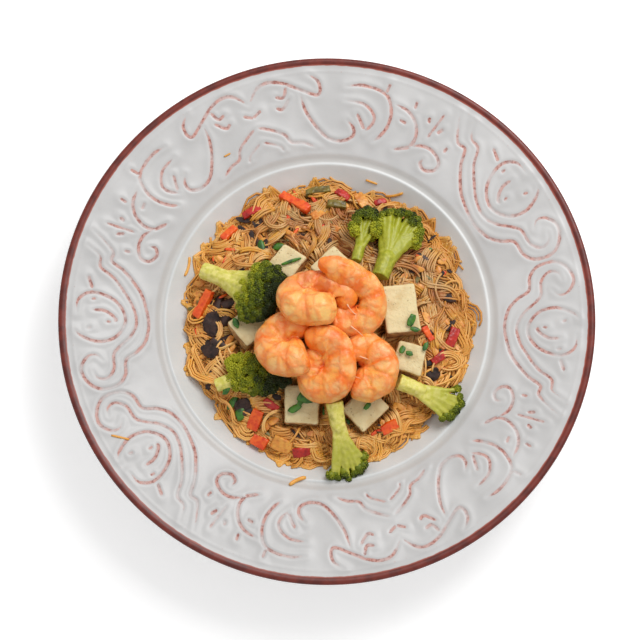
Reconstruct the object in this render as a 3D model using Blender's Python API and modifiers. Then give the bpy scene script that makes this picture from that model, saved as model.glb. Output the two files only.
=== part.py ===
"""Stir-fried rice noodles with shrimp, tofu and broccoli, built with their embossed pasta plate.

Frame: +Z up, origin at the centre of the foot ring, on the table. The place is seen with +Y away
from the eater. Lengths in the tables are millimetres, turned into metres by MM.
"""
import math
import random

import bmesh
import bpy
from mathutils import Euler, Matrix, Vector, noise
from mathutils.bvhtree import BVHTree

MM = 0.001

# plate
PLATE_RADIUS = 150.0
PLATE_HEIGHT = 44.0
RIM_INNER_RADIUS = 98.0          # where the flat rim turns down into the well
RIM_SLOPE = math.radians(16.0)
RIM_THICKNESS = 4.6
STEP_RADIUS = 93.0               # foot of the short steep band under the rim
STEP_DROP = 3.0
BEAD_RADIUS = 91.6               # small raised bead below that band
BEAD_HEIGHT = 0.5
WELL_FLOOR_RADIUS = 62.0
WELL_FLOOR_Z = 8.0
FOOT_OUTER = 66.0
FOOT_INNER = 62.0
FOOT_HEIGHT = 3.0
PLATE_STEPS = 60

# noodles
HEAP_RADIUS = 78.5
HEAP_CROWN_Z = 37.0
HEAP_RIM_Z = 20.0
HEAP_SECTORS = 56
HEAP_RINGS = 11                  # from the crown to the outline, and as many below
HEAP_LIFT = 0.6                  # clear of the glaze
TOPPING_GAP = 0.5

# shrimps: x, y, z, radius along the back, from the cut shoulder to the tail tip
SHRIMPS = {
    "shrimp_1": [(0, -1, 59, 7.2), (-8, -1, 60, 7.8), (-16, 0, 59, 7.8), (-21, 6, 57, 7.2),
                 (-18, 12, 54, 6.4), (-10, 15, 52, 5.8), (-1, 15, 52, 5.4), (7, 12, 52, 4.8),
                 (11, 7, 53, 3.8), (8, 2, 55, 2.4)],
    "shrimp_2": [(8, -4, 45, 6.2), (16, -6, 46, 6.8), (23, -4, 47, 7.2), (26, 3, 49, 7.2),
                 (24, 11, 52, 6.8), (17, 17, 56, 6.0), (9, 21, 60, 5.4), (2, 23, 62, 4.6),
                 (-4, 22, 61, 2.6)],
    "shrimp_3": [(-16, -26, 55, 6.6), (-23, -28, 52, 7.4), (-30, -24, 49, 7.4), (-31, -16, 46, 7.2),
                 (-27, -10, 45, 6.4), (-20, -9, 45, 5.4), (-15, -13, 47, 3.2)],
    "shrimp_4": [(-5, -25, 46, 6.2), (-10, -33, 42, 6.6), (-7, -41, 43, 7.2), (0, -43, 46, 7.2),
                 (7, -39, 50, 6.8), (9, -31, 52, 6.0), (7, -22, 53, 5.2), (3, -15, 50, 4.6),
                 (-3, -12, 47, 4.0), (-8, -11, 45, 2.4)],
    "shrimp_5": [(16, -41, 39, 6.2), (23, -42, 41, 7.0), (30, -37, 43, 7.2), (32, -29, 44, 7.0),
                 (28, -21, 44, 6.2), (21, -17, 41, 5.2), (15, -16, 38, 4.2), (10, -14, 36, 2.4)],
}
SHRIMP_SEGMENTS = 6
SHRIMP_SECTIONS = 19

# tofu: centre x, y, height of the top face, then size and turn (degrees about z, x, y)
TOFU = {
    "tofu_1": ((41.3, 3.6, 45), (19.5, 28, 15), (8, 4, 3)),
    "tofu_2": ((46, -23.5, 40.5), (17, 17, 14), (-16, 5, 4)),
    "tofu_3": ((21.3, -50.5, 33), (21, 19, 14), (45, 6, -4)),
    "tofu_4": ((-14, -49, 34.5), (19, 22.5, 13), (-3, 5, -2)),
    "tofu_5": ((-43.5, -5, 36.5), (19, 18, 13), (38, 0, 6)),
    "tofu_6": ((-22, 31, 39), (16, 16, 13), (-34, -6, -3)),
    "tofu_7": ((2.5, 28, 43), (20, 14.5, 13), (44, -8, 0)),
}
TOFU_EDGE = 0.9

# broccoli: stalk root, crown centre, stalk radii, crown radii (along, across, thick), crown heading
BROCCOLI = {
    "broccoli_1": ((16.5, 31, 39), (20, 54, 34), (3.0, 4.6), (11, 7, 7), 82),
    "broccoli_2": ((31, 22, 38), (42, 48, 34), (4.5, 7.5), (16, 13, 8), 66),
    "broccoli_3": ((-70, 28, 29), (-35, 12, 42), (5.2, 6.4), (8, 16, 8), -25),
    "broccoli_4": ((-58, -37, 27), (-41, -32, 33), (3.6, 5.0), (19, 10, 7.5), -10),
    "broccoli_5": ((4, -51, 37), (8, -79, 30), (3.4, 6.0), (8, 14, 4.5), -49),
    "broccoli_6": ((42, -38, 34), (67, -48, 29), (3.8, 6.0), (8, 11, 5), -27),
}
CROWN_LUMP = 0.06

# cut vegetables lying in the noodles: x, y, lift over the noodles, length, width, thickness,
# heading and pitch in degrees
CARROT = {
    "carrot_1": (-18, 69, 2.5, 21, 5.5, 4.0, -41, 8),
    "carrot_2": (-70, 9.5, 3.0, 17, 5.5, 4.0, 54, 8),
    "carrot_3": (-40, -57, 2.0, 12, 7.0, 3.5, 66, 8),
    "carrot_4": (-38, -69, 2.0, 9, 7.0, 3.5, -30, 0),
    "carrot_5": (35, -61, 2.0, 10, 6.0, 3.5, 30, 0),
    "carrot_6": (-56, 51, 2.5, 10, 4.5, 3.0, 47, 0),
    "carrot_7": (57, -9, 2.0, 9, 4.0, 3.0, -55, 6),
}
PEPPER = {
    "pepper_1": (-43, 64, 2.0, 12, 5.0, 2.4, 25, 0),
    "pepper_2": (9, 74, 2.0, 9, 4.5, 2.4, -36, 0),
    "pepper_3": (71, -10, 2.0, 12, 6.0, 2.4, 70, 6),
    "pepper_4": (63, -22, 2.0, 10, 4.5, 2.4, 35, 0),
    "pepper_5": (-14, -75, 2.0, 10, 5.5, 2.4, 10, 0),
    "pepper_6": (-31, -49, 2.0, 10, 4.5, 2.4, -38, 0),
    "pepper_7": (31, 70, 2.0, 7, 3.5, 2.4, 20, 0),
}
ONION = {
    "onion_1": (20, 71, 2.0, 10, 6.0, 2.2, -62, 0),
    "onion_2": (-5, 61, 2.0, 8, 6.0, 2.2, 40, 0),
    "onion_3": (-25, -71, 2.0, 11, 8.0, 2.2, -25, 0),
}
GREEN_BEAN = {
    "green_bean_1": (-5, 76, 2.5, 15, 4.5, 3.6, 8, 0),
    "green_bean_2": (6, 67, 3.0, 11, 4.5, 3.6, -6, 0),
}
MUSHROOM = {
    "wood_ear_1": (-65, -3, 3.0, 16, 11, 1.6, 75, 8),
    "wood_ear_2": (-66, -17, 2.5, 13, 9, 1.6, -40, 6),
    "wood_ear_3": (-47, -49, 2.0, 11, 8, 1.6, 20, 0),
    "wood_ear_4": (70, 13, 2.0, 9, 5, 1.4, 5, 0),
    "wood_ear_5": (60, -31, 1.5, 9, 7, 1.4, 30, 0),
}


def material(name, colour, roughness):
    """A plain Principled material."""
    made = bpy.data.materials.new(name)
    made.use_nodes = True
    shader = made.node_tree.nodes["Principled BSDF"]
    shader.inputs["Base Color"].default_value = (*colour, 1.0)
    shader.inputs["Roughness"].default_value = roughness
    shader.inputs["Metallic"].default_value = 0.0
    made.diffuse_color = (*colour, 1.0)
    return made


def add_object(name, mesh, finish, smooth_angle=None):
    """Link a mesh as a named object with its material."""
    piece = bpy.data.objects.new(name, mesh)
    PARTS.objects.link(piece)
    mesh.materials.clear()
    mesh.materials.append(finish)
    if smooth_angle is not None:
        mesh.shade_smooth()
        mesh.set_sharp_from_angle(angle=math.radians(smooth_angle))
    return piece


def mesh_from(shape, name):
    """Turn a bmesh in millimetres into a mesh in metres."""
    bmesh.ops.scale(shape, vec=(MM, MM, MM), verts=shape.verts)
    bmesh.ops.recalc_face_normals(shape, faces=shape.faces)
    mesh = bpy.data.meshes.new(name)
    shape.to_mesh(mesh)
    shape.free()
    return mesh


# ---------------------------------------------------------------- plate


def rim_z(radius):
    """Height of the flat sloping rim."""
    return PLATE_HEIGHT - (PLATE_RADIUS - 1.0 - radius) * math.tan(RIM_SLOPE)


def well_profile():
    """Upper side of the well, from the centre out to the rim's inner edge."""
    step_top = rim_z(RIM_INNER_RADIUS)
    step_foot = step_top - STEP_DROP
    wall_top = (BEAD_RADIUS - 1.4, step_foot - 0.6)
    points = [(0.0, WELL_FLOOR_Z), (WELL_FLOOR_RADIUS * 0.5, WELL_FLOOR_Z), (WELL_FLOOR_RADIUS, WELL_FLOOR_Z)]
    wall_steps = 5
    for i in range(1, wall_steps + 1):
        share = i / wall_steps
        radius = WELL_FLOOR_RADIUS + share * (wall_top[0] - WELL_FLOOR_RADIUS)
        points.append((radius, WELL_FLOOR_Z + (wall_top[1] - WELL_FLOOR_Z) * share ** 1.55))
    points.append((BEAD_RADIUS, step_foot + BEAD_HEIGHT))
    points.append((STEP_RADIUS, step_foot + BEAD_HEIGHT * 0.4))
    points.append((RIM_INNER_RADIUS - 1.0, step_top - 0.4))
    points.append((RIM_INNER_RADIUS + 0.6, rim_z(RIM_INNER_RADIUS + 0.6)))
    return points


def plate_profile():
    """Closed half section on the axis, run from the well's centre over the rim to the underside."""
    top = well_profile()
    lip = [(142.0, rim_z(142.0)), (146.4, rim_z(146.4)), (149.0, PLATE_HEIGHT), (150.0, PLATE_HEIGHT - 1.2),
           (149.4, PLATE_HEIGHT - 3.4), (146.5, rim_z(146.5) - RIM_THICKNESS)]
    under_rim = (RIM_INNER_RADIUS + 1.0, rim_z(RIM_INNER_RADIUS) - RIM_THICKNESS - 0.6)
    under = [under_rim]
    wall_steps = 4
    for i in range(1, wall_steps + 1):
        share = i / wall_steps
        radius = under_rim[0] + share * (FOOT_OUTER + 1.0 - under_rim[0])
        under.append((radius, FOOT_HEIGHT + (under_rim[1] - FOOT_HEIGHT) * (1.0 - share) ** 1.45))
    foot = [(FOOT_OUTER, 0.0), (FOOT_INNER, 0.0), (FOOT_INNER - 1.0, FOOT_HEIGHT), (0.0, FOOT_HEIGHT)]
    return top + lip + under + foot


def make_plate():
    """The turned plate, spun from its profile."""
    points = plate_profile()
    mesh = bpy.data.meshes.new("plate")
    mesh.from_pydata([(x * MM, 0.0, z * MM) for x, z in points], [(i, i + 1) for i in range(len(points) - 1)], [])
    plate = add_object("plate", mesh, material("glazed plate", (0.62, 0.62, 0.61), 0.25))
    spin = plate.modifiers.new("Turn", 'SCREW')
    spin.axis = 'Z'
    spin.steps = PLATE_STEPS
    spin.render_steps = PLATE_STEPS
    spin.use_merge_vertices = True
    spin.merge_threshold = 0.00005
    spin.use_smooth_shade = True
    return plate


def well_z(radius):
    """Height of the plate's upper side within the well."""
    points = well_profile()
    for (r0, z0), (r1, z1) in zip(points, points[1:]):
        if radius <= r1:
            return z0 + (z1 - z0) * (radius - r0) / (r1 - r0)
    return rim_z(radius)


# ---------------------------------------------------------------- noodles


def heap_outline(angle):
    """Radius of the noodles' uneven edge."""
    waves = 1.5 * math.sin(3 * angle + 0.8) + 1.3 * math.sin(7 * angle + 2.2) + 1.0 * math.sin(13 * angle)
    return HEAP_RADIUS + waves


def heap_top(x, y):
    """Height of the noodles before anything presses into them."""
    share = min(1.0, math.hypot(x, y) / heap_outline(math.atan2(y, x)))
    ripple = 0.8 * noise.noise(Vector((x, y, 0.0)) / 14.0)
    return HEAP_RIM_Z + (HEAP_CROWN_Z - HEAP_RIM_Z) * (1.0 - share ** 2) + ripple


def lowest_topping(trees, x, y, reach):
    """Lowest underside of any topping within reach of a point, or None."""
    lowest = None
    spots = [(0.0, 0.0)]
    for ring in (0.25, 0.5, 0.75, 1.0):
        spots += [(reach * ring * math.cos(a), reach * ring * math.sin(a))
                  for a in (math.tau * k / 20 for k in range(20))]
    for dx, dy in spots:
        start = Vector(((x + dx) * MM, (y + dy) * MM, 0.0))
        for tree in trees:
            hit = tree.ray_cast(start, Vector((0, 0, 1)))[0]
            if hit is not None and (lowest is None or hit.z < lowest):
                lowest = hit.z
    return None if lowest is None else lowest / MM


def make_heap(toppings):
    """The noodles as one solid, pressed in under each topping and following the well below."""
    depsgraph = bpy.context.evaluated_depsgraph_get()
    trees = [BVHTree.FromObject(topping, depsgraph) for topping in toppings]
    shape = bmesh.new()
    bmesh.ops.create_uvsphere(shape, u_segments=HEAP_SECTORS, v_segments=2 * HEAP_RINGS, radius=1.0)
    for vert in shape.verts:
        polar = math.acos(max(-1.0, min(1.0, vert.co.z)))
        ring = round(polar / math.pi * 2 * HEAP_RINGS)
        share = min(ring, 2 * HEAP_RINGS - ring) / HEAP_RINGS
        angle = math.atan2(vert.co.y, vert.co.x)
        radius = heap_outline(angle) * share
        x, y = radius * math.cos(angle), radius * math.sin(angle)
        floor = well_z(radius) + HEAP_LIFT
        if ring < HEAP_RINGS:
            z = heap_top(x, y)
            reach = 1.05 * max(heap_outline(angle) / HEAP_RINGS, math.tau * radius / HEAP_SECTORS)
            under = lowest_topping(trees, x, y, reach)
            if under is not None:
                z = max(min(z, under - TOPPING_GAP), floor + 1.0)
        elif ring == HEAP_RINGS:
            z = floor + 2.5
        else:
            z = floor
        vert.co = (x, y, z)
    return add_object("noodle_heap", mesh_from(shape, "noodle_heap"),
                      material("rice noodles", (0.55, 0.33, 0.14), 0.45), 40)


# ---------------------------------------------------------------- shrimps


def spline_at(points, share):
    """A Catmull-Rom curve through the points, read at a share of its spans."""
    spans = len(points) - 1
    index = min(int(share * spans), spans - 1)
    t = share * spans - index
    first = [2 * a - b for a, b in zip(points[0], points[1])]
    last = [2 * a - b for a, b in zip(points[-1], points[-2])]
    padded = [first] + [list(p) for p in points] + [last]
    p0, p1, p2, p3 = padded[index:index + 4]
    return [0.5 * (2 * b + (c - a) * t + (2 * a - 5 * b + 4 * c - d) * t * t + (3 * b - a - 3 * c + d) * t ** 3)
            for a, b, c, d in zip(p0, p1, p2, p3)]


def make_shrimp(name, points, finish):
    """A peeled, curled shrimp: a tapering tube whose radius swells at each segment."""
    curve = bpy.data.curves.new(name, 'CURVE')
    curve.dimensions = '3D'
    curve.bevel_depth = MM
    curve.bevel_resolution = 2
    curve.use_fill_caps = True
    spline = curve.splines.new('POLY')
    spline.points.add(SHRIMP_SECTIONS - 1)
    for i, point in enumerate(spline.points):
        share = i / (SHRIMP_SECTIONS - 1)
        x, y, z, radius = spline_at(points, share)
        swell = 1.0 + 0.04 * math.cos(math.tau * SHRIMP_SEGMENTS * share)
        rounding = 0.62 if i in (0, SHRIMP_SECTIONS - 1) else 1.0
        point.co = (x * MM, y * MM, z * MM, 1.0)
        point.radius = radius * swell * rounding * 0.97
    guide = bpy.data.objects.new(name + "_curve", curve)
    PARTS.objects.link(guide)
    bpy.context.view_layer.update()
    mesh = bpy.data.meshes.new_from_object(guide.evaluated_get(bpy.context.evaluated_depsgraph_get()))
    bpy.data.objects.remove(guide)
    shape = bmesh.new()
    shape.from_mesh(mesh)
    bmesh.ops.remove_doubles(shape, verts=shape.verts, dist=0.00001)
    bmesh.ops.recalc_face_normals(shape, faces=shape.faces)
    shape.to_mesh(mesh)
    shape.free()
    return add_object(name, mesh, finish, 60)


# ---------------------------------------------------------------- tofu and vegetables


def make_tofu(name, place, size, turn, finish):
    """A hand-cut block: its corners are not quite square and its edges are worn round."""
    cut = random.Random(name)
    shape = bmesh.new()
    bmesh.ops.create_cube(shape, size=1.0)
    for vert in shape.verts:
        vert.co = Vector([c * s + cut.uniform(-0.7, 0.7) for c, s in zip(vert.co, size)])
    turned = Euler([math.radians(a) for a in (turn[1], turn[2], turn[0])]).to_matrix()
    bmesh.ops.rotate(shape, matrix=turned, verts=shape.verts)
    highest = max(v.co.z for v in shape.verts)
    bmesh.ops.translate(shape, vec=(place[0], place[1], place[2] - highest), verts=shape.verts)
    block = add_object(name, mesh_from(shape, name), finish)
    bevel = block.modifiers.new("Worn edges", 'BEVEL')
    bevel.width = TOFU_EDGE * MM
    bevel.segments = 1
    return block


def heap_frame(x, y, lift, heading, pitch):
    """Matrix that lays a flat piece on the noodles' slope, turned to its heading."""
    step = 3.0
    slope_x = (heap_top(x + step, y) - heap_top(x - step, y)) / (2 * step)
    slope_y = (heap_top(x, y + step) - heap_top(x, y - step)) / (2 * step)
    up = Vector((-slope_x, -slope_y, 1.0)).normalized()
    along = Vector((math.cos(math.radians(heading)), math.sin(math.radians(heading)), 0.0))
    along = (along - up * along.dot(up)).normalized()
    turn = Matrix((along, up.cross(along), up)).transposed()
    tip = Matrix.Rotation(math.radians(-pitch), 3, 'Y')
    return Matrix.Translation((x, y, heap_top(x, y) + lift)) @ (turn @ tip).to_4x4()


def make_stick(name, spec, finish, arch):
    """A cut stick or strip of vegetable, arched a little along its length."""
    x, y, lift, length, width, thick, heading, pitch = spec
    cut = random.Random(name)
    shape = bmesh.new()
    bmesh.ops.create_cube(shape, size=1.0)
    long_edges = [e for e in shape.edges if abs(e.verts[0].co.x - e.verts[1].co.x) > 0.5]
    bmesh.ops.subdivide_edges(shape, edges=long_edges, cuts=2, use_grid_fill=True)
    for vert in shape.verts:
        across = 1.0 - 0.25 * abs(vert.co.x) * cut.uniform(0.4, 1.0)
        rise = arch * length * (0.25 - vert.co.x ** 2)
        vert.co = Vector((vert.co.x * length, vert.co.y * width * across, vert.co.z * thick + rise))
    bmesh.ops.transform(shape, matrix=heap_frame(x, y, lift, heading, pitch), verts=shape.verts)
    return add_object(name, mesh_from(shape, name), finish)


def make_wood_ear(name, spec, finish):
    """A crumpled flap of wood-ear mushroom with a solid wall."""
    x, y, lift, length, width, thick, heading, pitch = spec
    fold = random.Random(name)
    phase = fold.uniform(0.0, math.tau)
    shape = bmesh.new()
    bmesh.ops.create_grid(shape, x_segments=4, y_segments=3, size=0.5)
    for vert in shape.verts:
        u, v = vert.co.x, vert.co.y
        round_off = 1.0 - 0.5 * (abs(u) * abs(v)) * 4.0 * 0.5
        crumple = 0.11 * length * math.sin(5.0 * u + phase) * math.cos(4.0 * v + 0.5 * phase)
        vert.co = Vector((u * length * round_off, v * width * round_off, crumple))
    bmesh.ops.transform(shape, matrix=heap_frame(x, y, lift, heading, pitch), verts=shape.verts)
    flap = add_object(name, mesh_from(shape, name), finish)
    wall = flap.modifiers.new("Wall", 'SOLIDIFY')
    wall.thickness = thick * MM
    wall.offset = 0.0
    return flap


def make_broccoli(name, root, crown, stalk_radii, crown_radii, heading, finish):
    """A floret: a flaring stalk joined to a lumpy, flattened crown."""
    root, crown = Vector(root), Vector(crown)
    axis = crown - root
    stalk = bmesh.new()
    bmesh.ops.create_cone(stalk, cap_ends=True, segments=10, radius1=stalk_radii[0], radius2=stalk_radii[1],
                          depth=axis.length, matrix=Matrix.Translation((0, 0, axis.length / 2)))
    bmesh.ops.rotate(stalk, matrix=axis.to_track_quat('Z', 'Y').to_matrix(), verts=stalk.verts)
    bmesh.ops.translate(stalk, vec=root, verts=stalk.verts)
    floret = add_object(name, mesh_from(stalk, name), finish)

    head = bmesh.new()
    bmesh.ops.create_icosphere(head, subdivisions=3, radius=1.0)
    seed = Vector(crown)
    for vert in head.verts:
        lump = 1.0 + CROWN_LUMP * noise.noise(vert.co * 2.6 + seed)
        vert.co = Vector([c * r * lump for c, r in zip(vert.co, crown_radii)])
    tilt = math.atan2(axis.z, Vector((axis.x, axis.y)).length)
    turned = Matrix.Rotation(math.radians(heading), 3, 'Z') @ Matrix.Rotation(-tilt, 3, 'Y')
    bmesh.ops.rotate(head, matrix=turned, verts=head.verts)
    bmesh.ops.translate(head, vec=crown, verts=head.verts)
    cutter = bpy.data.objects.new(name + "_crown", mesh_from(head, name + "_crown"))
    HELPERS.objects.link(cutter)
    cutter.hide_render = True
    cutter.display_type = 'WIRE'
    join = floret.modifiers.new("Crown", 'BOOLEAN')
    join.operation = 'UNION'
    join.solver = 'EXACT'
    join.object = cutter
    return floret


# ---------------------------------------------------------------- build

for old in list(bpy.data.objects):
    bpy.data.objects.remove(old)
PARTS = bpy.data.collections.new("noodle_plate")
HELPERS = bpy.data.collections.new("helpers")
for group in (PARTS, HELPERS):
    bpy.context.scene.collection.children.link(group)

shrimp_finish = material("cooked shrimp", (0.80, 0.30, 0.08), 0.35)
tofu_finish = material("tofu", (0.72, 0.64, 0.42), 0.55)
broccoli_finish = material("broccoli", (0.20, 0.34, 0.04), 0.5)
carrot_finish = material("carrot", (0.78, 0.16, 0.02), 0.4)
pepper_finish = material("red pepper", (0.60, 0.04, 0.02), 0.35)
onion_finish = material("fried onion", (0.72, 0.42, 0.14), 0.4)
bean_finish = material("green bean", (0.22, 0.20, 0.05), 0.45)
mushroom_finish = material("wood ear", (0.03, 0.02, 0.02), 0.35)

make_plate()
served = [make_shrimp(name, points, shrimp_finish) for name, points in SHRIMPS.items()]
served += [make_tofu(name, *spec, tofu_finish) for name, spec in TOFU.items()]
served += [make_broccoli(name, *spec, broccoli_finish) for name, spec in BROCCOLI.items()]
served += [make_stick(name, spec, carrot_finish, 0.02) for name, spec in CARROT.items()]
served += [make_stick(name, spec, pepper_finish, 0.35) for name, spec in PEPPER.items()]
served += [make_stick(name, spec, onion_finish, 0.25) for name, spec in ONION.items()]
served += [make_stick(name, spec, bean_finish, 0.10) for name, spec in GREEN_BEAN.items()]
served += [make_wood_ear(name, spec, mushroom_finish) for name, spec in MUSHROOM.items()]
bpy.context.view_layer.update()
make_heap(served)
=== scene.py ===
import math
import random

import bmesh
import bpy
import numpy as np
from mathutils import Matrix, Vector, noise
from mathutils.bvhtree import BVHTree
from mathutils.kdtree import KDTree


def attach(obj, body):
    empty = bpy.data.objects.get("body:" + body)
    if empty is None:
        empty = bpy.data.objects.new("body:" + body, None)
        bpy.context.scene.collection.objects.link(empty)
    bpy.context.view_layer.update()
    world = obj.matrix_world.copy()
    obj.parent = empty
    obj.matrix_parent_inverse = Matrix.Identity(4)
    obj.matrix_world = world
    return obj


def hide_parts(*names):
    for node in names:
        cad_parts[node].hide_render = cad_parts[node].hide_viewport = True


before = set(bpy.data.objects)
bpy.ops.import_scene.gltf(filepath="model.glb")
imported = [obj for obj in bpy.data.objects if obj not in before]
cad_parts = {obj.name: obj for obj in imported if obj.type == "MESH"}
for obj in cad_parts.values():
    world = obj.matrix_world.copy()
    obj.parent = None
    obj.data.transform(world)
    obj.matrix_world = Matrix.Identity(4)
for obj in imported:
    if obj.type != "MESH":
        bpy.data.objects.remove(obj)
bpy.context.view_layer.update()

MM = 0.001                       # the tables below are in millimetres
UP = Vector((0, 0, 1))

# plate, as its CAD solid
PLATE_RADIUS = 150.0
PLATE_HEIGHT = 44.0
RIM_INNER = 98.0
RIM_SLOPE = math.tan(math.radians(16.0))
RIM_THICKNESS = 4.6
STEP_DROP = 3.0
BEAD_RADIUS = 91.6
WELL_FLOOR_RADIUS = 62.0
WELL_FLOOR_Z = 8.0
WALL_TOP_RADIUS = 90.2
FOOT_OUTER = 66.0
FOOT_INNER = 62.0
FOOT_HEIGHT = 3.0
PLATE_SECTORS = 960
ORNAMENT_RINGS = 62
ORNAMENT_INNER = 98.8
ORNAMENT_OUTER = 143.6
BAND_INNER = 145.5               # the red-brown edge starts here
LINE_WIDTH = 1.12                # half width of an incised line
LINE_DEPTH = 0.95
SWELL_WIDTH = 3.4                # the clay swells softly beside each line
SWELL_HEIGHT = 0.75
DASH_RADIUS = 142.3

# degrees of the axes that mirror the scrollwork, one near each quarter turn
SCROLL_AXES = (14.5, 110.0, 199.5, 288.0, 374.5)

# noodles
HEAP_RADIUS = 78.5
HEAP_CROWN_Z = 37.0
HEAP_RIM_Z = 20.0
HEAP_STEP = 1.5                  # grid of the heap's heights
STRAND = 0.63                    # radius of a cooked strand
STRAND_PITCH = 1.02              # strands of a clump lie this far apart
STRIDE = 2.2                     # length of one step along a strand
CORE_DEPTH = 4.2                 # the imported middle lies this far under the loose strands
LOOSE_ENDS = 340
POINTED_TUFTS = 76
TINTS = 8

# shrimps and broccoli
SHRIMP_AROUND = 60
SHRIMP_ALONG = 170
SHRIMP_VOXEL = 0.45
LEG_STEPS = 9
STALK_VOXEL = 0.5
STALK_STEPS = 10
GOLDEN_ANGLE = 2.399963          # radians
BUDS_IN_A_DOME = 46
DOME_TRIES = 1800
DOME_GAP = 3.9                   # domes of buds are at least this far apart

# metres and degrees
CAMERA_TILT = 11.4
CAMERA_AIM = Vector((-0.0038, -0.0039, 0.045))
CAMERA_DISTANCE = 1.0
CAMERA_LENS = 101.1
LAMP_PLACE = Vector((0.26, 0.36, 0.62))
LAMP_AIM = Vector((0.06, 0.08, 0.04))


# ---------------------------------------------------------------- finishes


def srgb(red, green, blue):
    """A screen colour, 0 to 255, as the linear colour that the shaders take."""
    channels = [c / 255.0 for c in (red, green, blue)]
    return tuple(c / 12.92 if c <= 0.04045 else ((c + 0.055) / 1.055) ** 2.4 for c in channels)


class Value:
    """A varying number in a finish; Python's arithmetic on it adds Math nodes."""

    def __init__(self, finish, socket):
        self.finish = finish
        self.socket = socket

    def math(self, operation, *others):
        values = dict(enumerate((self, *others)))
        return self.finish.node('ShaderNodeMath', {"operation": operation}, values)

    def __add__(self, other):
        return self.math('ADD', other)

    def __sub__(self, other):
        return self.math('SUBTRACT', other)

    def __mul__(self, other):
        return self.math('MULTIPLY', other)

    def __truediv__(self, other):
        return self.math('DIVIDE', other)

    def __rsub__(self, other):
        return self.math('MULTIPLY_ADD', -1.0, other)

    __radd__ = __add__
    __rmul__ = __mul__

    def ramp(self, low, high):
        """0 below low, 1 above high, and a smooth step between."""
        sockets = {"Value": self, "From Min": low, "From Max": high}
        return self.finish.node('ShaderNodeMapRange', {"interpolation_type": 'SMOOTHSTEP'}, sockets)


class Finish:
    """A Principled material, and the nodes that vary it over a surface."""

    def __init__(self, name, colour, roughness, **constants):
        self.material = bpy.data.materials.new(name)
        self.material.use_nodes = True
        self.tree = self.material.node_tree
        self.shader = self.tree.nodes["Principled BSDF"]
        self.shader.inputs["Base Color"].default_value = (*srgb(*colour), 1.0)
        self.shader.inputs["Roughness"].default_value = roughness
        for socket, value in constants.items():
            self.shader.inputs[socket.replace("_", " ")].default_value = value

    def plug(self, socket, value):
        if isinstance(value, Value):
            self.tree.links.new(value.socket, socket)
        elif isinstance(value, tuple) and socket.type == 'RGBA':
            socket.default_value = (*value, 1.0)
        else:
            socket.default_value = value

    def node(self, kind, settings, sockets, output=0):
        """Adds a node: its settings first, then the values or links of its sockets."""
        made = self.tree.nodes.new(kind)
        for name, value in settings.items():
            setattr(made, name, value)
        for name, value in sockets.items():
            self.plug(made.inputs[name], value)
        return Value(self, made.outputs[output])

    def place(self):
        return self.node('ShaderNodeTexCoord', {}, {}, "Object")

    def axis(self, name):
        return self.node('ShaderNodeSeparateXYZ', {}, {0: self.place()}, name)

    def attribute(self, name):
        return self.node('ShaderNodeAttribute', {"attribute_name": name}, {}, "Fac")

    def grain(self, size, detail=2.0, stretch=None):
        """Noise whose spots are about size millimetres across."""
        where = self.place()
        if stretch:
            where = self.node('ShaderNodeMapping', {}, {"Vector": where, "Scale": stretch})
        sockets = {"Vector": where, "Scale": 1.0 / (size * MM), "Detail": detail}
        return self.node('ShaderNodeTexNoise', {}, sockets)

    def cells(self, size, feature='F1', output="Distance"):
        sockets = {"Vector": self.place(), "Scale": 1.0 / (size * MM)}
        return self.node('ShaderNodeTexVoronoi', {"feature": feature}, sockets, output)

    def mix(self, share, first, second):
        """first where share is 0, second where it is 1."""
        kind = {"data_type": 'RGBA', "clamp_factor": True}
        return self.node('ShaderNodeMix', kind, {0: share, 6: first, 7: second}, 2)

    def colour(self, value):
        self.plug(self.shader.inputs["Base Color"], value)

    def roughness(self, value):
        self.plug(self.shader.inputs["Roughness"], value)

    def bump(self, height, depth):
        """Fine relief, depth in millimetres."""
        made = self.node('ShaderNodeBump', {}, {"Height": height, "Distance": depth * MM}, "Normal")
        self.plug(self.shader.inputs["Normal"], made)


def soft(weight, reach, tint=(1.0, 0.45, 0.2)):
    """Constants for light that enters food and comes out again reach millimetres away."""
    return {"Subsurface_Weight": weight, "Subsurface_Radius": tint, "Subsurface_Scale": reach * MM}


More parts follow.
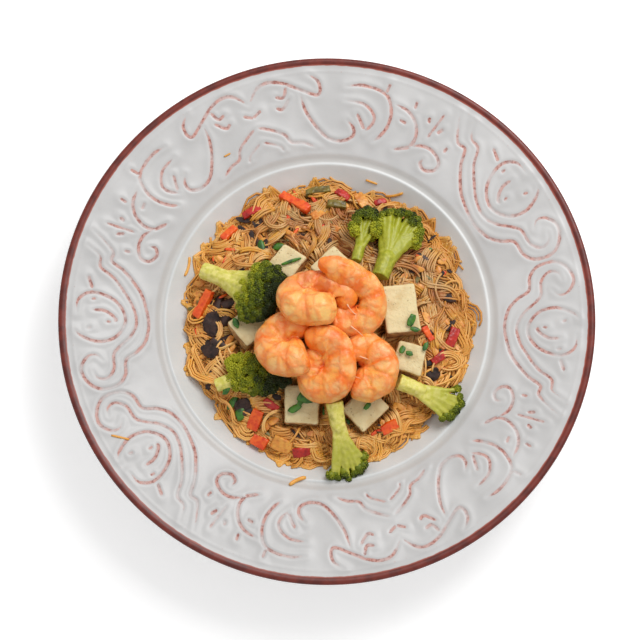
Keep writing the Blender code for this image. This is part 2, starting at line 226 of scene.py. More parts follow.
def glaze_finish():
    """Grey-white glaze, thin over the incised lines, with a red-brown edge."""
    glaze = Finish("glaze", (206, 207, 206), 0.34, Specular_IOR_Level=0.42)
    x, y, z = (glaze.axis(name) for name in "XYZ")
    radius = (x * x + y * y).math('SQRT') / MM
    cloud = glaze.grain(22.0)
    # painted light: the glaze inside the well is painted lighter than on the rim, to make up for the light
    # that the well loses
    well = glaze.mix(cloud.ramp(0.35, 0.7), srgb(208, 210, 209), srgb(216, 217, 216))
    ground = glaze.mix(cloud.ramp(0.35, 0.7), srgb(187, 186, 185), srgb(197, 196, 195))
    ground = glaze.mix(radius.ramp(90.0, 99.0), well, ground)
    speck = glaze.grain(1.3, 4.0).ramp(0.70, 0.76) * glaze.grain(14.0).ramp(0.52, 0.62)
    ground = glaze.mix(speck * 0.35, ground, srgb(170, 150, 135))
    # the cove on the step below the rim is painted darker: partly painted shade in the recess, partly the
    # glaze's own darker tone
    cove_shade_and_tint = radius.ramp(92.0, 93.0) * (1.0 - radius.ramp(96.0, 97.8))
    ground = glaze.mix(cove_shade_and_tint * 0.45, ground, srgb(178, 172, 166))
    stretch = glaze.grain(17.0, 2.0).ramp(0.34, 0.52)
    patch = glaze.grain(5.0, 3.0).ramp(0.30, 0.60)
    fine = glaze.grain(0.8, 3.0).ramp(0.28, 0.6)
    line = glaze.attribute("wear") + 0.40 * (glaze.grain(2.6, 3.0) - 0.5)
    worn = line.ramp(0.34, 0.72) * (0.22 + 0.78 * stretch) * (0.55 + 0.45 * patch) * (0.75 + 0.25 * fine)
    clay = glaze.mix(glaze.grain(2.0, 3.0).ramp(0.45, 0.62), srgb(196, 142, 130), srgb(150, 78, 62))
    ground = glaze.mix(worn * 0.95, ground, clay)
    ragged = radius + 0.9 * (glaze.grain(5.0, 4.0) - 0.5)
    band = ragged.ramp(BAND_INNER - 0.25, BAND_INNER + 0.25) * (z / MM).ramp(38.2, 39.0)
    rust = glaze.mix(glaze.grain(7.0, 3.0).ramp(0.35, 0.65), srgb(86, 27, 19), srgb(114, 41, 29))
    rust = glaze.mix(radius.ramp(BAND_INNER + 0.2, BAND_INNER + 1.0), srgb(158, 84, 70), rust)
    glaze.colour(glaze.mix(band, ground, rust))
    glaze.roughness(0.34 + 0.14 * worn + 0.06 * cloud)
    glaze.bump(glaze.grain(9.0, 2.0) + 0.25 * worn, 0.2)
    return glaze.material


def noodle_finish():
    """Cooked rice strands from brown through tan to golden, golden at the edge, with painted shade at the
    back of the heap and painted light at its front.
    """
    rice = Finish("rice_noodles", (222, 172, 100), 0.42,
                  Coat_Weight=0.12, Coat_Roughness=0.25, **soft(0.15, 1.0))
    x, y = (rice.axis(name) for name in "XY")
    edge = ((x * x + y * y).math('SQRT') / MM + 6.0 * (rice.grain(12.0) - 0.5)).ramp(66.0, 78.0)
    tint = rice.attribute("tint") + 0.80 * (rice.grain(10.0) - 0.5)
    shade = rice.mix(tint.ramp(0.0, 0.32), srgb(138, 70, 24), srgb(206, 138, 66))
    shade = rice.mix(tint.ramp(0.30, 0.66), shade, srgb(240, 198, 132))
    shade = rice.mix(tint.ramp(0.72, 0.98), shade, srgb(238, 172, 54))
    sauce = rice.grain(15.0, 3.0).ramp(0.50, 0.64)
    # painted shade browns the back of the heap, towards the lamp, and painted light turns its front golden,
    # evening out how the lamp falls across the heap
    back = ((0.5 * x + y) / MM + 24.0 * (rice.grain(30.0) - 0.5)).ramp(-10.0, 60.0)
    shade = rice.mix(sauce * 0.55, shade, srgb(176, 84, 24))
    shade = rice.mix(back * 0.46, shade, srgb(122, 66, 18))
    shade = rice.mix((1.0 - back) * 0.42, shade, srgb(238, 176, 88))
    shade = rice.mix(edge * 0.5, shade, srgb(234, 166, 66))
    rice.colour(shade)
    rice.roughness(0.36 + 0.2 * rice.grain(3.0))
    return rice.material


def core_finish():
    """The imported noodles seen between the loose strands: brown sauce and shadow."""
    core = Finish("packed_noodles", (110, 56, 20), 0.5)
    strands = core.grain(2.2, 3.0)
    core.colour(core.mix(strands.ramp(0.35, 0.7), srgb(78, 34, 10), srgb(140, 76, 24)))
    core.bump(strands, 1.2)
    return core.material


def shrimp_finish(name, cream, brown):
    """Cooked shrimp: peach flesh netted with orange, red in the folds, and how cream and brown it gets."""
    flesh = Finish(name, (240, 158, 76), 0.36, Coat_Weight=0.14, Coat_Roughness=0.22,
                   **soft(0.2, 2.0, (1.0, 0.4, 0.15)))
    fold = flesh.attribute("fold")
    inner = flesh.attribute("inner")
    pale = flesh.attribute("pale")
    blotch = flesh.grain(9.0, 3.0).ramp(0.38, 0.62)
    seam = flesh.cells(7.5, 'DISTANCE_TO_EDGE') + 0.34 * (flesh.grain(3.0, 3.0) - 0.5)
    net = 1.0 - seam.ramp(0.0, 0.22)
    shade = flesh.mix(blotch, srgb(246, 166, 70), srgb(240, 116, 20))
    # pale flesh in the middle of each segment, together with a painted highlight on the segment's swell, less
    # on the belly
    pale_and_highlight = pale.ramp(0.30, 0.95) * (0.3 + 0.7 * flesh.grain(6.0).ramp(0.38, 0.58))
    shade = flesh.mix(pale_and_highlight * 0.8, shade, srgb(240, 184, 116))
    shade = flesh.mix(flesh.grain(4.5, 2.0).ramp(0.50, 0.64) * 0.35, shade, srgb(248, 198, 134))
    shade = flesh.mix(flesh.attribute("cream") * cream, shade, srgb(242, 192, 108))
    shade = flesh.mix(net * 0.42, shade, srgb(238, 112, 16))
    shade = flesh.mix(fold.ramp(0.2, 1.0) * 0.28, shade, srgb(228, 104, 30))
    shade = flesh.mix(inner.ramp(0.70, 1.0) * 0.75, shade, srgb(222, 74, 18))
    tail = flesh.attribute("tail")
    fried = tail.ramp(0.32, 0.55) * (1.0 - tail.ramp(0.72, 0.86)) * flesh.grain(5.0).ramp(0.25, 0.60)
    shade = flesh.mix(fried * brown, shade, srgb(204, 90, 24))
    shade = flesh.mix(tail.ramp(0.76, 0.95) * 0.55, shade, srgb(244, 122, 24))
    speck = flesh.grain(1.2, 2.0).ramp(0.71, 0.78)
    shade = flesh.mix(speck * 0.5, shade, srgb(206, 50, 16))
    flesh.colour(shade)
    flesh.roughness(0.30 + 0.22 * flesh.grain(2.0))
    flesh.bump(flesh.grain(1.6, 3.0) + 0.8 * net, 0.35)
    return flesh.material


def tofu_finish():
    """Pale cream curd with small pores; its sides and undersides are painted brown, painted shade with some
    sauce stain.
    """
    curd = Finish("tofu", (224, 208, 156), 0.6, Specular_IOR_Level=0.3, **soft(0.15, 1.5, (1.0, 0.8, 0.5)))
    pore = 1.0 - curd.cells(1.9).ramp(0.10, 0.22)
    pore = pore * curd.grain(6.0).ramp(0.46, 0.58)
    stain = curd.grain(9.0, 3.0).ramp(0.48, 0.72)
    # painted shade: faces that turn away from the top are painted brown, with some sauce stain
    wall = 1.0 - curd.attribute("level").ramp(0.45, 0.80)
    shade = curd.mix(stain * 0.6, srgb(222, 204, 158), srgb(200, 172, 120))
    side_shade_and_sauce = curd.mix(curd.grain(4.0).ramp(0.4, 0.6), srgb(150, 92, 46), srgb(204, 154, 92))
    shade = curd.mix(wall * 0.85, shade, side_shade_and_sauce)
    shade = curd.mix(pore * 0.6, shade, srgb(150, 108, 62))
    curd.colour(shade)
    curd.bump(curd.grain(1.1, 3.0) - 0.8 * pore, 0.35)
    return curd.material


def stalk_finish(name, pale, deep):
    """Peeled broccoli stalk: yellow-green, streaked along its length, paler at the cut."""
    stalk = Finish(name, pale, 0.42, **soft(0.12, 1.2, (0.7, 1.0, 0.3)))
    streak = stalk.grain(2.4, 3.0)
    shade = stalk.mix(streak.ramp(0.35, 0.65), srgb(*deep), srgb(*pale))
    shade = stalk.mix(stalk.attribute("reach").ramp(0.35, 0.95) * 0.7, shade, srgb(158, 160, 34))
    stalk.colour(stalk.mix(stalk.grain(4.0).ramp(0.58, 0.74) * 0.35, shade, srgb(126, 126, 20)))
    stalk.bump(streak, 0.3)
    return stalk.material


def bud_finish():
    """Broccoli buds, from deep green on the crown to yellow-green at its edge."""
    bud = Finish("broccoli_buds", (70, 96, 28), 0.5,
                 Specular_IOR_Level=0.35, **soft(0.06, 0.8, (0.6, 1.0, 0.2)))
    tint = bud.attribute("tint") + 0.6 * (bud.grain(6.0) - 0.5)
    shade = bud.mix(tint.ramp(0.05, 0.42), srgb(34, 44, 4), srgb(98, 110, 12))
    bud.colour(bud.mix(tint.ramp(0.42, 0.90), shade, srgb(168, 168, 32)))
    return bud.material


def cut_finish(name, body, mark, size, roughness=0.38, coat=0.15, depth=0.25):
    """A cut vegetable: its own colour, mottled, with a moist surface."""
    cut = Finish(name, body, roughness, Coat_Weight=coat, Coat_Roughness=0.2, **soft(0.1, 1.0))
    mottle = cut.grain(size, 3.0)
    cut.colour(cut.mix(mottle.ramp(0.38, 0.68), srgb(*body), srgb(*mark)))
    cut.roughness(roughness + 0.15 * mottle)
    cut.bump(mottle, depth)
    return cut.material


# ---------------------------------------------------------------- making pieces


def keep_piece(name, mesh, finish, smooth=True):
    """Links a finished mesh as a piece of the one body."""
    piece = bpy.data.objects.new(name, mesh)
    bpy.context.scene.collection.objects.link(piece)
    mesh.materials.clear()
    mesh.materials.append(finish)
    mesh.polygons.foreach_set("use_smooth", [smooth] * len(mesh.polygons))
    mesh.update()
    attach(piece, "root")
    return piece


def mesh_of(shape, name, flip_check=True):
    """A bmesh in millimetres, closed and facing out, as a mesh in metres."""
    bmesh.ops.scale(shape, vec=(MM, MM, MM), verts=shape.verts)
    if flip_check:
        bmesh.ops.recalc_face_normals(shape, faces=shape.faces)
    mesh = bpy.data.meshes.new(name)
    shape.to_mesh(mesh)
    shape.free()
    return mesh


def points_of(mesh):
    coords = np.empty(len(mesh.vertices) * 3)
    mesh.vertices.foreach_get("co", coords)
    return coords.reshape(-1, 3)


def set_points(mesh, coords):
    mesh.vertices.foreach_set("co", coords.ravel())
    mesh.update()


def set_attribute(mesh, name, values, domain='POINT'):
    layer = mesh.attributes.new(name, 'FLOAT', domain)
    layer.data.foreach_set("value", np.asarray(values, dtype=np.float32))


def applied(mesh, *modifiers):
    """The mesh after a list of modifiers, each given as its kind and settings."""
    holder = bpy.data.objects.new("holder", mesh)
    bpy.context.scene.collection.objects.link(holder)
    for kind, settings in modifiers:
        modifier = holder.modifiers.new(kind, kind)
        for name, value in settings.items():
            setattr(modifier, name, value)
    graph = bpy.context.evaluated_depsgraph_get()
    graph.update()
    result = bpy.data.meshes.new_from_object(holder.evaluated_get(graph))
    bpy.data.objects.remove(holder)
    return result


def catmull(points, share):
    """A smooth curve through the points, read at a share of its spans."""
    spans = len(points) - 1
    index = min(int(share * spans), spans - 1)
    t = share * spans - index
    p1, p2 = points[index], points[index + 1]
    p0 = points[index - 1] if index else [2 * a - b for a, b in zip(p1, p2)]
    p3 = points[index + 2] if index + 2 <= spans else [2 * b - a for a, b in zip(p1, p2)]
    return [0.5 * (2 * b + (c - a) * t + (2 * a - 5 * b + 4 * c - d) * t ** 2
                   + (3 * b - a - 3 * c + d) * t ** 3)
            for a, b, c, d in zip(p0, p1, p2, p3)]


def strands_mesh(name, paths, radii, tints, resolution):
    """Round strands along paths in millimetres, welded and capped, each with its own tint."""
    curve = bpy.data.curves.new(name, 'CURVE')
    curve.dimensions = '3D'
    curve.bevel_depth = MM
    curve.bevel_resolution = resolution
    curve.use_fill_caps = True
    for _ in range(TINTS):
        curve.materials.append(None)
    for path, radius, tint in zip(paths, radii, tints):
        spline = curve.splines.new('POLY')
        spline.points.add(len(path) - 1)
        corners = np.ones((len(path), 4))
        corners[:, :3] = np.asarray(path) * MM
        spline.points.foreach_set("co", corners.ravel())
        spline.points.foreach_set("radius", np.broadcast_to(radius, len(path)).astype(float))
        spline.material_index = min(TINTS - 1, max(0, int(tint * TINTS)))
        spline.use_smooth = True
    holder = bpy.data.objects.new(name, curve)
    bpy.context.scene.collection.objects.link(holder)
    graph = bpy.context.evaluated_depsgraph_get()
    graph.update()
    mesh = bpy.data.meshes.new_from_object(holder.evaluated_get(graph))
    bpy.data.objects.remove(holder)
    shape = bmesh.new()
    shape.from_mesh(mesh)
    bmesh.ops.remove_doubles(shape, verts=shape.verts, dist=0.00002)
    bmesh.ops.recalc_face_normals(shape, faces=shape.faces)
    shape.to_mesh(mesh)
    shape.free()
    index = np.empty(len(mesh.polygons), dtype=np.int32)
    mesh.polygons.foreach_get("material_index", index)
    set_attribute(mesh, "tint", (index + 0.5) / TINTS, 'FACE')
    mesh.polygons.foreach_set("material_index", np.zeros(len(mesh.polygons), dtype=np.int32))
    return mesh


# ---------------------------------------------------------------- plate


def rim_z(radius):
    return PLATE_HEIGHT - (PLATE_RADIUS - 1.0 - radius) * RIM_SLOPE


def wall_z(radius):
    """Height of the well's floor and curved wall."""
    top = rim_z(RIM_INNER) - STEP_DROP - 0.6
    share = np.clip((radius - WELL_FLOOR_RADIUS) / (WALL_TOP_RADIUS - WELL_FLOOR_RADIUS), 0.0, 1.0)
    return WELL_FLOOR_Z + (top - WELL_FLOOR_Z) * share ** 1.55


def dish_z(radius):
    """Height of the plate's upper side anywhere."""
    radius = np.asarray(radius, dtype=float)
    step = rim_z(RIM_INNER) - STEP_DROP
    ledge = np.interp(radius, [WALL_TOP_RADIUS, BEAD_RADIUS, 93.0, RIM_INNER - 1.0, RIM_INNER + 0.6],
                      [step - 0.6, step + 0.5, step + 0.2, rim_z(RIM_INNER) - 0.4, rim_z(RIM_INNER + 0.6)])
    outer = np.where(radius < RIM_INNER, ledge, rim_z(radius))
    return np.where(radius < WALL_TOP_RADIUS, wall_z(radius), outer)


def plate_section():
    """Half section from the well's centre, over the rim, to the underside's centre."""
    step = rim_z(RIM_INNER) - STEP_DROP
    section = [(r, WELL_FLOOR_Z) for r in (0.0, 30.0, WELL_FLOOR_RADIUS)]
    section += [(r, float(wall_z(r))) for r in np.linspace(WELL_FLOOR_RADIUS, WALL_TOP_RADIUS, 11)[1:]]
    section += [(91.0, step + 0.2), (BEAD_RADIUS, step + 0.55), (92.2, step + 0.35), (93.2, step + 0.25),
                (95.2, step + 1.3), (96.8, step + 2.5), (97.9, step + 2.95)]
    section += [(r, rim_z(r)) for r in np.linspace(ORNAMENT_INNER, ORNAMENT_OUTER, ORNAMENT_RINGS)]
    section += [(145.8, rim_z(145.8)), (146.4, rim_z(146.4) + 0.25), (147.8, rim_z(147.8) + 0.3),
                (149.1, PLATE_HEIGHT - 0.05), (149.8, PLATE_HEIGHT - 0.7), (149.9, PLATE_HEIGHT - 1.7),
                (149.2, PLATE_HEIGHT - 3.3), (146.5, rim_z(146.5) - RIM_THICKNESS)]
    under = (RIM_INNER + 1.0, rim_z(RIM_INNER) - RIM_THICKNESS - 0.6)
    section.append(under)
    for share in np.linspace(0.0, 1.0, 8)[1:]:
        radius = under[0] + share * (FOOT_OUTER + 1.0 - under[0])
        section.append((radius, FOOT_HEIGHT + (under[1] - FOOT_HEIGHT) * (1.0 - share) ** 1.45))
    section += [(FOOT_OUTER + 0.2, 0.6), (FOOT_OUTER - 0.4, 0.0), (FOOT_INNER + 0.4, 0.0),
                (FOOT_INNER - 0.2, 0.6), (FOOT_INNER - 1.0, FOOT_HEIGHT), (0.0, FOOT_HEIGHT)]
    return section


# each incised line: how worn it is, then (degrees from the scroll axis, radius) along it
SCROLLWORK = [
    (1.0, [(40.1, 140.6), (38.7, 133), (36.7, 126), (34.3, 125.3), (32.7, 117.7), (30, 110.7),
           (26, 104.5), (18.7, 100.6), (12.7, 102.4), (9.3, 107.9), (7.3, 114.9), (3.3, 117),
           (1, 122.5), (1, 131.6), (3.3, 137.8), (6.7, 139.9), (9.3, 135.8), (9.7, 130.9), (8, 127.4)]),
    (0.9, [(36.3, 140.6), (34.7, 132.3), (32, 130.2), (30, 121.8), (26.7, 114.9), (22.7, 109.3),
           (18, 107.2), (14, 110.7), (10.7, 118.4), (9, 121.2), (5.3, 122.5), (3.3, 127.4), (4, 132.3),
           (6, 133.7)]),
    (1.0, [(20, 139.9), (23.3, 139.2), (25.3, 133), (25, 124.6), (23.3, 117.7), (20, 113.5),
           (16.7, 114.2), (13.7, 119.8), (13, 128.8), (14.7, 137.8), (16, 140.6)]),
    (1.0, [(21, 131.6), (21, 124.6), (19.3, 119.1), (18, 118.4)]),
    (0.8, [(18.3, 123.9), (18, 121.2)]),
    (0.8, [(16.3, 134.4), (16.7, 131.6)]),
    (0.8, [(23.7, 132.3), (24, 129.5)]),
    (1.0, [(29.3, 135.8), (26.3, 132.3)]),
    (0.8, [(42.8, 135.8), (43.3, 127.4), (44, 118.4)]),
    (1.0, [(45.7, 130), (45.2, 127)]),
    (1.0, [(41.3, 128.1), (42.3, 123.9)]),
    (0.9, [(38, 120.5), (38.3, 117)]),
    (1.0, [(47.3, 110.7), (44, 114.2), (40.7, 114.2), (37.7, 110.7), (37.7, 105.9), (40.3, 103.1),
           (42.3, 105.2), (42, 108.6)]),
    (1.0, [(54.7, 130.2), (50.7, 128.1), (48, 123.2), (46.7, 116.3), (47.3, 110.7), (49.3, 107.9),
           (51.3, 105.9)]),
    (0.9, [(52.3, 122.5), (50.3, 121.8)]),
    (0.9, [(49.8, 135.1), (49.7, 130.9)]),
    (1.0, [(66.7, 134.4), (62.7, 136), (57.3, 133.7), (55, 126), (54.7, 117.7), (56, 110.7),
           (57.7, 106.5)]),
    (0.9, [(56.8, 139.9), (57.2, 134.4)]),
    (0.9, [(66.7, 126.7), (62, 126), (59, 121.2), (58.8, 116.3), (60.7, 110.7)]),
    (1.0, [(63.3, 120.5), (60.7, 112.1)]),
    (1.0, [(77.5, 131), (76.5, 121), (74, 112), (70.5, 105.5), (66.5, 104.5), (63.7, 107.5),
           (63.7, 112), (65.7, 116)]),
    (1.0, [(90, 130.5), (87.2, 137.8), (84.5, 139.7), (81.2, 137.8), (77.9, 133.7), (73.9, 129.5),
           (72.7, 131.6), (73.2, 137.1), (75.5, 141.4)]),
    (0.9, [(90, 123.2), (87.6, 126)]),
    (0.9, [(90, 117.7), (87.2, 114.9), (83.2, 110), (81.5, 105.2), (77.9, 103.8), (74.2, 100.6)]),
    (0.7, [(90, 109.3), (87.2, 106.5), (84.9, 103.8), (84.2, 100.6)]),
    (1.0, [(83.5, 130.9), (81.5, 130.2), (80.5, 135.8)]),
    (1.0, [(83.9, 125.3), (82.2, 123.9), (79.9, 129.5)]),
]


def scroll_tree():
    """The incised lines of one quarter as closely spaced points, with how strong each is there."""
    spots = []
    for worn, line in SCROLLWORK:
        steps = 14 * (len(line) - 1)
        for i in range(steps + 1):
            share = i / steps
            degrees, radius = catmull(line, share)
            ends = min(1.0, 0.35 + 5.0 * min(share, 1.0 - share))
            angle = math.radians(degrees)
            spots.append(((radius * math.cos(angle), radius * math.sin(angle), 0.0), worn * ends))
    tree = KDTree(len(spots))
    for index, (spot, _) in enumerate(spots):
        tree.insert(spot, index)
    tree.balance()
    return tree, [strength for _, strength in spots]


def carve_rim(mesh):
    """Sinks the scrollwork into the rim, and marks where the glaze is worn from it."""
    coords = points_of(mesh) / MM
    radius = np.hypot(coords[:, 0], coords[:, 1])
    turn = (np.degrees(np.arctan2(coords[:, 1], coords[:, 0])) - SCROLL_AXES[0]) % 360.0
    quarters = (0.0, 90.0, 180.0, 270.0, 360.0)
    turn = np.interp(turn, np.array(SCROLL_AXES) - SCROLL_AXES[0], quarters) % 180.0
    turn = np.radians(np.minimum(turn, 180.0 - turn))
    tree, strengths = scroll_tree()
    wear = np.zeros(len(coords))
    upper = coords[:, 2] > rim_z(radius) - 1.0
    ornament = np.flatnonzero(upper & (radius > ORNAMENT_INNER - 0.5) & (radius < 145.0))
    for i in ornament:
        flat = (radius[i] * math.cos(turn[i]), radius[i] * math.sin(turn[i]), 0.0)
        _, index, distance = tree.find(flat)
        strength = strengths[index]
        fade = min(1.0, (radius[i] - ORNAMENT_INNER) / 2.0, (145.0 - radius[i]) / 2.0)
        groove = strength * math.exp(-(distance / LINE_WIDTH) ** 2)
        swell = math.exp(-(distance / SWELL_WIDTH) ** 2)
        dashes = 0.5 + 0.5 * math.sin(266.0 * turn[i])
        ring = math.exp(-((radius[i] - DASH_RADIUS) / 0.6) ** 2)
        coords[i, 2] += fade * (SWELL_HEIGHT * swell - LINE_DEPTH * groove) + 0.18 * ring
        wear[i] = max(strength * math.exp(-(distance / 1.12) ** 2), 0.6 * ring * dashes ** 2)
    set_points(mesh, coords * MM)
    set_attribute(mesh, "wear", wear)


def make_plate(finish):
    """The plate, turned from its section, with its embossed rim."""
    shape = bmesh.new()
    verts = [shape.verts.new((r, 0.0, z)) for r, z in plate_section()]
    for pair in zip(verts, verts[1:]):
        shape.edges.new(pair)
    half = mesh_of(shape, "plate_section")
    turned = applied(half, ('SCREW', {"steps": PLATE_SECTORS, "render_steps": PLATE_SECTORS,
                                      "use_merge_vertices": True, "merge_threshold": 1e-6}))
    shape = bmesh.new()
    shape.from_mesh(turned)
    bmesh.ops.scale(shape, vec=(1 / MM, 1 / MM, 1 / MM), verts=shape.verts)
    mesh = mesh_of(shape, "plate_glazed")
    carve_rim(mesh)
    piece = keep_piece("plate_glazed", mesh, finish)
    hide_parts("plate")


# ---------------------------------------------------------------- noodles


def heap_outline(angle):
    """Radius of the noodles' uneven edge."""
    broad = 1.5 * np.sin(3 * angle + 0.8)
    return HEAP_RADIUS + broad + 1.3 * np.sin(7 * angle + 2.2) + 1.0 * np.sin(13 * angle)


def dome_z(x, y):
    """Height of the noodles before anything presses into them."""
    share = np.minimum(1.0, np.hypot(x, y) / heap_outline(np.arctan2(y, x)))
    return HEAP_RIM_Z + (HEAP_CROWN_Z - HEAP_RIM_Z) * (1.0 - share ** 2)


# x, y, radius, depth: hollows that the toppings leave between them
HOLLOWS = [(-10, 27, 7, 6), (9, 43, 5, 5), (31, 18, 6, 6), (-60, 3, 8, 4), (37, -19, 5, 5), (0, -58, 5, 4)]


class HeapTop:
    """The noodles' upper surface as a grid of heights, pressed in under shrimp, tofu and broccoli."""

    def __init__(self, toppings):
        self.reach = 96.0
        self.step = HEAP_STEP
        marks = np.arange(-self.reach, self.reach + 0.1, self.step)
        self.count = len(marks)
        x, y = np.meshgrid(marks, marks, indexing="ij")
        heights = dome_z(x, y)
        for hx, hy, radius, depth in HOLLOWS:
            heights -= depth * np.exp(-((x - hx) ** 2 + (y - hy) ** 2) / radius ** 2)
        tree = solid_tree(toppings)
        under = np.full(heights.shape, 999.0)
        for i, px in enumerate(marks):
            for j, py in enumerate(marks):
                if abs(px) < 80 and abs(py) < 92:
                    hit = tree.ray_cast(Vector((px * MM, py * MM, 0.0)), UP)[0]
                    if hit is not None:
                        under[i, j] = hit.z / MM
        under = self.spread(under, np.minimum.reduce)
        self.open = under > 900.0
        pressed = np.minimum(heights, under - 0.8)
        for _ in range(3):
            pressed = np.minimum(pressed, self.spread(pressed, np.mean))
        self.heights = pressed

    @staticmethod
    def spread(grid, rule):
        """Each cell from itself and its eight neighbours, by a rule over a stack of grids."""
        wide = np.pad(grid, 1, mode="edge")
        rows, columns = grid.shape
        near = [wide[i:i + rows, j:j + columns] for i in range(3) for j in range(3)]
        return rule(np.stack(near), axis=0) if rule is np.mean else rule(near)

    def at(self, x, y):
        """Heights at points, read between the grid's cells."""
        column = np.clip((np.asarray(x) + self.reach) / self.step, 0, self.count - 1.001)
        row = np.clip((np.asarray(y) + self.reach) / self.step, 0, self.count - 1.001)
        i, j = column.astype(int), row.astype(int)
        u, v = column - i, row - j
        grid = self.heights
        return ((1 - u) * (1 - v) * grid[i, j] + u * (1 - v) * grid[i + 1, j]
                + (1 - u) * v * grid[i, j + 1] + u * v * grid[i + 1, j + 1])


def solid_tree(names):
    """One search tree over several CAD solids."""
    verts, faces = [], []
    for name in names:
        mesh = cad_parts[name].data
        start = len(verts)
        verts += [v.co.copy() for v in mesh.vertices]
        faces += [tuple(start + i for i in p.vertices) for p in mesh.polygons]
    return BVHTree.FromPolygons(verts, faces)


def wander(rng, x, y, heading, steps, bend):
    """A curving walk that turns back along the heap's edge where it would leave it."""
    turn = rng.uniform(-bend, bend)
    path = [(x, y)]
    for _ in range(steps):
        turn = max(-bend, min(bend, turn + rng.uniform(-bend, bend) * 0.5))
        heading += turn
        outward = math.atan2(y, x)
        if math.hypot(x, y) > 0.97 * heap_outline(outward) and math.cos(heading - outward) > -0.1:
            heading += 0.6 * (1.0 if math.sin(heading - outward) > 0 else -1.0)
        x += STRIDE * math.cos(heading)
        y += STRIDE * math.sin(heading)
        path.append((x, y))
    return np.array(path)


def bundle(rng, top, start, heading, length, count, depth, lift, bend):
    """Strands stuck side by side along one walk, at a depth in the heap and tipped a little."""
    steps = max(4, int(length / STRIDE))
    spine = wander(rng, *start, heading, steps, bend)
    along = np.gradient(spine, axis=0)
    along /= np.linalg.norm(along, axis=1)[:, None] + 1e-9
    across = np.stack([-along[:, 1], along[:, 0]], axis=1)
    share = np.linspace(0.0, 1.0, steps + 1)
    fan = 1.0 + rng.uniform(-0.2, 0.5) * share
    arch = lift * np.sin(np.pi * share) + rng.uniform(-1.6, 1.6) * (share - 0.5)
    roll = rng.uniform(-0.5, 0.5)
    ripple = rng.uniform(3, 10)
    paths = []
    for k in range(count):
        offset = (k - (count - 1) / 2) * STRAND_PITCH + rng.uniform(-0.2, 0.2)
        weave = 0.3 * np.sin(share * rng.uniform(2, 8) + rng.uniform(0, 6.28))
        flat = spine + across * ((offset * fan + weave)[:, None])
        first = rng.randrange(0, max(1, steps // 3))
        last = steps + 1 - rng.randrange(0, max(1, steps // 3))
        if last - first < 4:
            continue
        flat, rise = flat[first:last], arch[first:last]
        radius = np.hypot(flat[:, 0], flat[:, 1])
        height = top.at(flat[:, 0], flat[:, 1]) - depth + rise + roll * offset + rng.uniform(-0.3, 0.3)
        height += 0.3 * np.sin(share[first:last] * ripple + rng.uniform(-0.6, 0.6))
        height = np.maximum(height, dish_z(radius) + 0.75)
        paths.append(np.column_stack([flat, height]))
    return paths


def make_noodles(top, finish):
    """Layers of noodle clumps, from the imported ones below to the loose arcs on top."""
    rng = random.Random(31)
    # piece, clumps, strands in each, length, depth range, arch, bend, tint range, curve resolution
    layers = [
        ("noodles_under", 180, (6, 10), (20, 46), (2.6, 4.8), (0.0, 1.0), 0.12, (0.0, 0.5), 0),
        ("noodles_middle", 270, (6, 11), (14, 34), (0.8, 3.0), (0.0, 1.8), 0.15, (0.08, 0.80), 0),
        ("noodles_upper", 240, (4, 10), (9, 26), (-1.2, 1.2), (0.2, 2.6), 0.18, (0.20, 0.95), 1),
        ("noodles_loose", 110, (1, 3), (14, 40), (-2.2, -0.4), (0.4, 3.2), 0.32, (0.35, 0.95), 1),
    ]
    for name, count, strands, length, depth, arch, bend, tint, resolution in layers:
        paths, tints = [], []
        for _ in range(count):
            radius = (HEAP_RADIUS - 0.5) * math.sqrt(rng.random())
            angle = rng.uniform(0.0, math.tau)
            start = (radius * math.cos(angle), radius * math.sin(angle))
            heading, reach = rng.uniform(0.0, math.tau), rng.uniform(*length)
            made = bundle(rng, top, start, heading, reach, rng.randint(*strands),
                          rng.uniform(*depth), rng.uniform(*arch), bend)
            shade = rng.uniform(*tint)
            paths += made
            tints += [shade + rng.uniform(-0.08, 0.08) for _ in made]
        radii = [STRAND * rng.uniform(0.88, 1.12) for _ in paths]
        keep_piece(name, strands_mesh(name, paths, radii, tints, resolution), finish)


def make_fringe(top, finish):
    """Golden ends that fray out over the glaze all round the heap, many drawn together into points."""
    rng = random.Random(8)
    paths, radii, tints = [], [], []

    def lay(start, end, bow):
        """One end, sagging from the heap's side to the glaze."""
        side = Vector((start.y - end.y, end.x - start.x))
        path = []
        for k in range(8):
            x, y = start.lerp(end, k / 7) + side * (bow * k / 7 * (1.0 - k / 7))
            rest = float(dish_z(math.hypot(x, y))) + 0.6 + rng.uniform(0.0, 0.25)
            path.append((x, y, max(rest, min(float(top.at(x, y)) - 2.0, rest + 3.2 - 0.4 * k))))
        paths.append(path)
        radii.append(rng.uniform(0.55, 0.95))
        tints.append(rng.uniform(0.66, 1.0))

    def at(angle, radius):
        return Vector((radius * math.cos(angle), radius * math.sin(angle)))

    for _ in range(LOOSE_ENDS):
        angle = rng.uniform(0.0, math.tau)
        start = at(angle, heap_outline(angle) - rng.uniform(0.5, 6.0))
        away = angle + rng.uniform(0.04, 0.16) * rng.choice((-1, 1))
        lay(start, at(away, heap_outline(away) + rng.uniform(-1.5, 2.4)), rng.uniform(-0.5, 0.5))
    for _ in range(POINTED_TUFTS):
        angle = rng.uniform(0.0, math.tau)
        tip = at(angle, heap_outline(angle) + rng.uniform(1.5, 6.5))
        for _ in range(rng.randint(4, 9)):
            side = angle + rng.uniform(-0.13, 0.13)
            start = at(side, heap_outline(side) - rng.uniform(1.0, 7.0))
            end = tip + Vector((rng.uniform(-0.8, 0.8), rng.uniform(-0.8, 0.8)))
            lay(start, end, rng.uniform(-0.4, 0.4))
    mesh = strands_mesh("noodles_fringe", paths, radii, tints, 1)
    keep_piece("noodles_fringe", mesh, finish)


